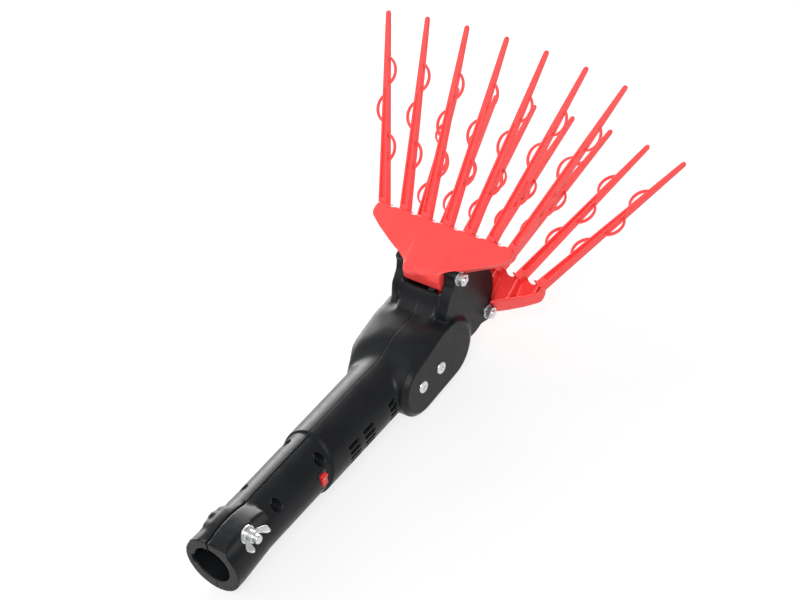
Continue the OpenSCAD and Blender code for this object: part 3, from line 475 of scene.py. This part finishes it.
def shape_ears(points, h, n, up):
    """The roof comes up to the ears beside it, and the ears' backs come down to the roof."""
    x, y, z = points.T
    lift = ROOF_LIFT + ROOF_SIDE_LIFT * ramp(np.abs(y), *ROOF_SIDE_Y)
    lift += ROOF_FRONT_LIFT * ramp(h, *ROOF_FRONT_H)
    lift *= window(h, *ROOF_H) * window(n, *ROOF_N) * (np.abs(y) < ROOF_HALF) * ramp(up, *ROOF_UPWARD)
    dx, dz = from_head(0.0, 1.0)
    x += dx * lift
    z += dz * lift

    down = np.where(y > 0.0, LEFT_EAR_DOWN, RIGHT_EAR_DOWN)
    over = (h - EAR_BACK_H) * -math.sin(EAR_SLOPE) + (n - EAR_BACK_N) * math.cos(EAR_SLOPE) + down
    back = np.where((np.abs(y) > EAR_Y) & (n > EAR_LOW), np.clip(over, 0.0, down), 0.0)
    back *= window(h, *EAR_H)
    dx, dz = from_head(math.sin(EAR_SLOPE), -math.cos(EAR_SLOPE))
    x += dx * back
    z += dz * back


def shape_housing(piece):
    """The soft shapes of the housing. Where a point lies and faces is taken before any of them moves it."""
    points = places(piece)
    out = faces_out(piece, points)
    h, n = head_frame(points)
    up = normals(piece) @ np.array((-math.sin(HEAD_ANGLE), 0.0, math.cos(HEAD_ANGLE)))
    shape_cheek(points, out)
    shape_clamp(points)
    shape_recesses(points)
    shape_ears(points, h, n, up)
    move(piece, points)


def drum_weights(piece):
    """Where the tube runs into the gearbox, and the gearbox's round top and left cheek."""
    points = places(piece)
    x, y, z = points.T
    cheek = ramp(y, *DRUM_CHEEK_Y)
    full_to, end = (stop + run * cheek for stop, run in zip(DRUM_END, DRUM_CHEEK_RUN))
    weights = window(x, *DRUM_START, full_to, end) * faces_out(piece, points)
    weights *= ramp(y, *DRUM_RIGHT_Y)
    flanks = ramp(np.abs(y), *FLANK_Y) * (1.0 - ramp(z, *FLANK_Z)) * (1.0 - ramp(x, *FLANK_X))
    return weights * (1.0 - flanks)


def roof_weights(piece):
    """The step between the roof and the ears."""
    points = places(piece)
    h, n = head_frame(points)
    roof = ROOF_FOOT_N + ROOF_SLOPE * (h - ROOF_FOOT_H)
    weights = window(h, *STEP_H) * ramp(n - roof, *STEP_RISE)
    return weights * (1.0 - ramp(np.abs(points[:, 1]), *STEP_Y))


def ridge_weights(piece):
    """The clamp's ridge, but not the seat of its washer or the edges of its slot."""
    points = places(piece)
    x, y, z = points.T
    weights = window(x, *RIDGE_X) * ramp(z, *RIDGE_Z) * ramp(np.abs(y), *RIDGE_Y)
    weights *= faces_out(piece, points)
    seat = np.hypot(x - CLAMP_X, z - CLAMP_Z)
    return np.where(y < 0.0, weights * ramp(seat, *SEAT_R), weights)


def true_up(piece):
    """Puts the points of the plain round walls back on true cylinders."""
    points = places(piece)
    x, y, z = points.T
    for radius, (start, end) in ((HANDLE_R, HANDLE_X), (TUBE_R, TUBE_X)):
        reach = np.hypot(y, z)
        near = window(x, start, start + WALL_RUN, end - WALL_RUN, end)
        near *= 1.0 - ramp(np.abs(reach - radius), *WALL_NEAR)
        scale = 1.0 + near * (radius / np.maximum(reach, 1.0) - 1.0)
        y *= scale
        z *= scale
    move(piece, points)


def close_slot(piece):
    """The clamp's slot as narrow as it is when the clamp is tight."""
    points = places(piece)
    x, y, z = points.T
    near = (1.0 - ramp(np.abs(y), *SLOT_Y)) * (1.0 - ramp(x, *RIDGE_END)) * ramp(z, *SLOT_Z)
    y -= np.sign(y) * near * SLOT_CLOSE
    move(piece, points)


def housing_half(name, whole, side, material):
    """One half of the housing, cut from the whole at the seam, with a soft edge along it."""
    mesh = bmesh.new()
    mesh.from_mesh(whole.data)
    cut_off(mesh, (0, side * SEAM_EDGE, 0), (0, -side, 0), clear=False)
    rim = cut_off(mesh, (0, side * SEAM_HALF, 0), (0, -side, 0))
    mesh.normal_update()
    shifts = {vert: vert.normal.copy() for edge in rim for vert in edge.verts}
    for vert, normal in shifts.items():
        normal.y = 0.0
        vert.co -= normal * SEAM_DEPTH
    bmesh.ops.triangle_fill(mesh, use_beauty=True, edges=rim, normal=(0, -side, 0))
    for edge in rim:
        edge.smooth = False
    return new_piece(name, mesh, material)


def make_housing(material):
    """Both halves of the housing, from one skin over them."""
    whole = copy_of("housing", ("right_housing", "left_housing"))
    even_skin(whole, HOUSING_VOXEL)
    shape_housing(whole)
    even_skin(whole, HOUSING_VOXEL)
    soften(whole, DRUM_ROUNDS, drum_weights(whole))
    soften(whole, ROOF_ROUNDS, roof_weights(whole))
    soften(whole, RIDGE_ROUNDS, ridge_weights(whole))
    soften(whole, SHELL_ROUNDS)
    true_up(whole)
    close_slot(whole)
    for name, node, side in (("right_shell", "right_housing", -1), ("left_shell", "left_housing", 1)):
        stands_for(housing_half(name, whole, side, material), node, "body")
    bpy.data.objects.remove(whole)


def comb_place(side):
    """The x and z of a comb's pivot, and the cosine and sine of its lean. The upper comb's side is 1."""
    dx, dz = from_head(PIVOT_REACH, side * PIVOT_HALF)
    angle = HEAD_ANGLE + (UPPER_OPEN if side > 0 else -LOWER_OPEN)
    return HEAD_ORIGIN.x / MM + dx, HEAD_ORIGIN.z / MM + dz, math.cos(angle), math.sin(angle)


def comb_frame(points, side):
    """The u, v and w of points: along the comb from its pivot, across it, and out of its face."""
    px, pz, c, s = comb_place(side)
    x, z = points[:, 0] - px, points[:, 2] - pz
    return x * c + z * s, side * points[:, 1], side * (z * c - x * s)


def from_comb(u, v, w, side):
    """The place of a point of the comb's frame, in metres."""
    px, pz, c, s = comb_place(side)
    return Vector((px + u * c - side * w * s, side * v, pz + u * s + side * w * c)) * MM


def tine_section(along, grooved, shrink):
    """The outline of a tine: a square with a groove in its upper and its lower face."""
    start, end = TINE_ROOT / 2, GROOVE_SHARE * TINE_LEN
    share = min(max((along - start) / (end - start), 0.0), 1.0)
    taper = (along + TINE_EMBED) / (TINE_LEN + TINE_EMBED)
    thick = (TINE_ROOT + (TINE_TIP - TINE_ROOT) * taper) / 2 * shrink
    groove = min(GROOVE_HALF + (GROOVE_TIP - GROOVE_HALF) * share, GROOVE_MOST * thick)
    floor = min(GROOVE_FLOOR, thick) if grooved else thick
    upper = [(thick, thick), (groove, thick), (groove, floor),
             (-groove, floor), (-groove, thick), (-thick, thick)]
    return upper + [(-across, -out) for across, out in upper]


def add_tine(mesh, number, side):
    """One tine with its side loops."""
    lean = number * TINE_FAN

    def place(along, across, out):
        u = TINE_START + along * math.cos(lean) - across * math.sin(lean)
        v = number * TINE_PITCH + along * math.sin(lean) + across * math.cos(lean)
        return mesh.verts.new(from_comb(u, v, out - TINE_DROP, side))

    start, end = TINE_ROOT / 2, GROOVE_SHARE * TINE_LEN
    steps = [(-TINE_REACH_IN, False, 1.0), (start, False, 1.0), (start + GROOVE_RUN_IN, True, 1.0)]
    steps += [(start + (end - start) * share, True, 1.0) for share in (0.2, 0.4, 0.6, 0.8)]
    steps += [(end - GROOVE_RUN_OUT, True, 1.0), (end, False, 1.0), (0.8 * TINE_LEN, False, 1.0)]
    steps += [(TINE_LEN + past, False, shrink) for past, shrink in TINE_END]
    skin(mesh, [[place(along, across, out) for across, out in tine_section(along, grooved, shrink)]
                for along, grooved, shrink in steps])

    arc = (LOOP_CHORD ** 2 / 4 + LOOP_RISE ** 2) / (2 * LOOP_RISE)
    spread = math.asin(LOOP_CHORD / 2 / arc)
    inner, wide = arc - LOOP_T, LOOP_W / 2
    section = ((arc, wide), (arc, -wide), (inner, -wide), (inner, wide))
    for index, share in enumerate(LOOP_SHARES):
        hand = -1 if index % 2 == 0 else 1
        flank = TINE_ROOT / 2 - share * (TINE_ROOT - TINE_TIP) / 2
        middle = flank - LOOP_EMBED + LOOP_RISE - arc
        rings = []
        for step in range(LOOP_STEPS + 1):
            turn = spread * (2.0 * step / LOOP_STEPS - 1.0)
            ahead, aside = math.sin(turn), math.cos(turn)
            rings.append([place(share * TINE_LEN + reach * ahead, hand * (middle + reach * aside), out)
                          for reach, out in section])
        skin(mesh, rings)


def make_tines(side, material):
    """All tines of a comb."""
    mesh = bmesh.new()
    for number in range(-SIDE_TINES, SIDE_TINES + 1):
        add_tine(mesh, number, side)
    bmesh.ops.remove_doubles(mesh, verts=mesh.verts[:], dist=DOUBLES_REACH)
    bmesh.ops.recalc_face_normals(mesh, faces=mesh.faces[:])
    piece = new_piece("tines", mesh, material)
    piece.data.shade_smooth()
    bevel(piece, TINE_BEVEL, 40)
    return piece


def make_wing(node, side, material):
    """A comb's fan and tongue, without its tines."""
    piece = copy_of("fan", (node,))
    mesh = bmesh.new()
    mesh.from_mesh(piece.data)
    bmesh.ops.remove_doubles(mesh, verts=mesh.verts[:], dist=WELD_REACH)
    middle = from_comb(FAN_FRONT, 0.0, 0.0, side)
    ahead = from_comb(FAN_FRONT + 1.0, 0.0, 0.0, side) - middle
    rim = cut_off(mesh, middle, ahead)
    bmesh.ops.triangle_fill(mesh, use_beauty=True, edges=rim, normal=ahead.normalized())
    mesh.to_mesh(piece.data)
    mesh.free()
    even_skin(piece, COMB_VOXEL)

    points = places(piece)
    u, v, _ = comb_frame(points, side)
    past = np.clip(np.abs(v) - FAN_CORNER_V, 0.0, FAN_CORNER_SPAN)
    points[:, 1] -= np.sign(points[:, 1]) * ramp(u, *FAN_CORNER_U) * past * FAN_NARROW
    move(piece, points)
    soften(piece, WING_ROUNDS)

    u, _, w = comb_frame(places(piece), side)
    soften(piece, CREASE_ROUNDS, (1.0 - ramp(u, *CREASE_U)) * ramp(w, *CREASE_W))
    piece.data.materials.append(material)
    return piece


def make_comb(name, node, body, side, material):
    """A whole comb."""
    piece = joined(name, [make_wing(node, side, material), make_tines(side, material)])
    stands_for(piece, node, body)


def turned(name, profile, place, direction, material, sides=48, flats=()):
    """A piece turned from a profile of (radius, height) steps, set on a place along a direction.
    The steps named in flats have six flats instead of a round wall."""
    mesh = bmesh.new()
    rings = []
    for step, (radius, height) in enumerate(profile):
        ring = []
        for side in range(sides):
            angle = 2.0 * math.pi * side / sides
            reach = radius
            if step in flats:
                sector = (angle + math.pi / 6) % (math.pi / 3) - math.pi / 6
                reach = radius * math.cos(math.pi / 6) / math.cos(sector)
            x, y = reach * math.cos(angle), reach * math.sin(angle)
            ring.append(mesh.verts.new((x * MM, y * MM, height * MM)))
        rings.append(ring)
    skin(mesh, rings)
    turn = Vector((0, 0, 1)).rotation_difference(Vector(direction)).to_matrix().to_4x4()
    mesh.transform(Matrix.Translation(Vector(place) * MM) @ turn)
    bmesh.ops.recalc_face_normals(mesh, faces=mesh.faces[:])
    piece = new_piece(name, mesh, material)
    piece.data.shade_smooth()
    bevel(piece, METAL_BEVEL, 35)
    return piece


def make_face_screws(steel):
    """Low round heads with six-sided sockets on the gearbox's flat side."""
    low, high = (Vector(corner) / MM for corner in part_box("axle_screws"))
    length = high.y + FACE_Y
    profile = [(2.0, -length), (2.0, -0.3), (5.6, -0.3), (5.6, 0.4), (5.1, 1.2), (2.7, 1.7), (2.2, 1.7),
               (2.2, 0.5)]
    middle = (low.z + high.z) / 2
    screws = [turned("screw", profile, (x, -FACE_Y, middle), (0, -1, 0), steel, flats=(6, 7))
              for x in (low.x + SCREW_HEAD, high.x - SCREW_HEAD)]
    stands_for(joined("face_screws", screws), "axle_screws", "body")


def make_bolts(steel):
    """Pivot bolts and the clamp's bolt, with thin heads on the left."""
    low, high = (Vector(corner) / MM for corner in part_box("pivot_bolts"))
    head = high.y - 1.8
    profile = [(3.9, 0.0), (5.0, 0.7), (5.0, 2.2), (3.0, 2.2), (3.0, head - low.y - 0.7), (2.4, head - low.y)]
    pivots = [comb_place(side)[:2] for side in (1, -1)]
    bolts = [turned("bolt", profile, (x, head, z), (0, -1, 0), steel) for x, z in pivots]
    stands_for(joined("pivot_screws", bolts), "pivot_bolts", "body")
    low, high = (Vector(corner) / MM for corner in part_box("clamp_bolt"))
    head = BOSS_FOOT + (high.y - BOSS_FOOT) * BOSS_SHARE - 0.2
    profile = [(4.4, 0.0), (5.0, 0.5), (5.0, 1.6), (4.0, 1.6), (4.0, head - low.y - 0.8), (3.3, head - low.y)]
    bolt = turned("clamp_screw", profile, (CLAMP_X, head, CLAMP_Z), (0, -1, 0), steel, flats=(0, 1, 2))
    stands_for(bolt, "clamp_bolt", "body")


def make_wing_nut(steel):
    """A stamped wing nut: a hub with a foot, and two thin blades that lean outwards."""
    foot = (Vector(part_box("wing_nut")[1]) / MM).y
    profile = [(6.4, 0.0), (6.4, 1.0), (5.6, 1.8), (5.2, 6.6), (4.7, 7.4)]
    pieces = [turned("hub", profile, (CLAMP_X, foot, CLAMP_Z), (0, -1, 0), steel)]
    outline = [(3.4, 1.4), (6.0, 2.2), (9.2, 4.2), (12.9, 7.6), (13.5, 9.6), (12.3, 13.9), (10.6, 14.9),
               (8.4, 13.4), (6.8, 9.8), (5.4, 7.2), (3.4, 6.8)]
    for turn in (WING_TURN, WING_TURN + math.pi):
        mesh = bmesh.new()
        across = Vector((math.cos(turn), 0, math.sin(turn)))
        side = Vector((-math.sin(turn), 0, math.cos(turn)))
        rings = []
        for offset in (-1.0, 1.0):
            spots = [Vector((CLAMP_X, foot - height, CLAMP_Z)) + across * reach + side * offset
                     for reach, height in outline]
            rings.append([mesh.verts.new(spot * MM) for spot in spots])
        skin(mesh, rings)
        bmesh.ops.recalc_face_normals(mesh, faces=mesh.faces[:])
        blade = new_piece("blade", mesh, steel)
        blade.data.shade_smooth()
        bevel(blade, BLADE_BEVEL, 50, segments=3)
        pieces.append(blade)
    stands_for(joined("wing_piece", pieces), "wing_nut", "wing")


def round_edges(piece):
    """Small rounded edges on a CAD node of metal."""
    modifier(piece, "WELD", merge_threshold=WELD_REACH)
    modifier(piece, "DECIMATE", decimate_type="DISSOLVE", angle_limit=math.radians(0.5))
    bevel(piece, METAL_BEVEL, 32)


def dress_frame(materials):
    """Materials on every CAD node, and pieces in place of those that need a softer shape."""
    slots = {part["node"]: part["material_slot"] for part in frame["record"]["subparts"]}
    for node, slot in slots.items():
        dress(node, materials[slot])
    make_face_screws(materials["steel"])
    make_bolts(materials["steel"])
    make_wing_nut(materials["steel"])
    make_housing(materials["housing_black"])
    make_comb("upper_rake", "upper_comb", "comb_up", 1, materials["comb_red"])
    make_comb("lower_rake", "lower_comb", "comb_low", -1, materials["comb_red"])
    for node in ("clamp_washer", "pivot_nuts", "pivot_washers"):
        round_edges(nodes[node])


def make_floor():
    """A pale floor, which the camera and reflections see nearly white."""
    mesh = bpy.data.meshes.new("floor")
    low = cad_box[0][2]
    corners = [(x * FLOOR_HALF, y * FLOOR_HALF, low) for x, y in ((-1, -1), (1, -1), (1, 1), (-1, 1))]
    mesh.from_pydata(corners, [], [(0, 1, 2, 3)])
    floor = bpy.data.objects.new("floor", mesh)
    bpy.context.scene.collection.objects.link(floor)
    material = bpy.data.materials.new("floor_white")
    material.use_nodes = True
    tree = material.node_tree
    surface = tree.nodes["Principled BSDF"]
    surface.inputs["Base Color"].default_value = (0.88, 0.88, 0.89, 1)
    surface.inputs["Roughness"].default_value = 0.35
    surface.inputs["Specular IOR Level"].default_value = 0.3
    glow = tree.nodes.new("ShaderNodeEmission")
    mix = tree.nodes.new("ShaderNodeMixShader")
    path = tree.nodes.new("ShaderNodeLightPath")
    share = tree.nodes.new("ShaderNodeMath")
    share.operation = "MULTIPLY"
    share.inputs[1].default_value = FLOOR_GLOW
    seen = tree.nodes.new("ShaderNodeMath")
    seen.operation = "MAXIMUM"
    tree.links.new(path.outputs["Is Camera Ray"], seen.inputs[0])
    tree.links.new(path.outputs["Is Glossy Ray"], seen.inputs[1])
    tree.links.new(seen.outputs[0], share.inputs[0])
    tree.links.new(share.outputs[0], mix.inputs["Fac"])
    tree.links.new(surface.outputs[0], mix.inputs[1])
    tree.links.new(glow.outputs[0], mix.inputs[2])
    tree.links.new(mix.outputs[0], tree.nodes["Material Output"].inputs["Surface"])
    mesh.materials.append(material)


def make_world():
    world = bpy.data.worlds.new("studio")
    bpy.context.scene.world = world
    world.use_nodes = True
    background = world.node_tree.nodes["Background"]
    background.inputs["Color"].default_value = (1, 1, 1, 1)
    background.inputs["Strength"].default_value = WORLD_STRENGTH


def softbox(name, place, aim, size, power):
    data = bpy.data.lights.new(name, "AREA")
    data.shape = "RECTANGLE"
    data.size, data.size_y = size
    data.energy = power
    lamp = bpy.data.objects.new(name, data)
    lamp.location = place
    lamp.rotation_euler = (Vector(aim) - Vector(place)).to_track_quat("-Z", "Y").to_euler()
    bpy.context.scene.collection.objects.link(lamp)


def make_lights():
    softbox("key_softbox", place=(-1.3, -0.9, 2.0), aim=(0.25, 0.0, 0.05), size=(1.2, 1.2), power=38.0)
    softbox("rim_softbox", place=(0.98, 1.21, 0.42), aim=(0.2, 0.0, 0.02), size=(1.9, 0.8), power=46.0)
    softbox("fill_softbox", place=(-0.75, 1.0, 1.45), aim=(0.3, 0.0, 0.03), size=(0.9, 0.9), power=4.0)


def make_camera():
    data = bpy.data.cameras.new("camera")
    data.lens = CAMERA_LENS
    data.sensor_width = SENSOR_WIDTH
    data.clip_end = 50.0
    camera = bpy.data.objects.new("camera", data)
    aim = (CAMERA_AIM - CAMERA_PLACE).to_track_quat("-Z", "Y").to_matrix().to_4x4()
    camera.matrix_world = Matrix.Translation(CAMERA_PLACE) @ aim @ Matrix.Rotation(-CAMERA_ROLL, 4, "Z")
    bpy.context.scene.collection.objects.link(camera)
    bpy.context.scene.camera = camera


dress_frame(make_materials())
make_floor()
make_world()
make_lights()
make_camera()
bpy.context.scene.view_settings.view_transform = "Standard"
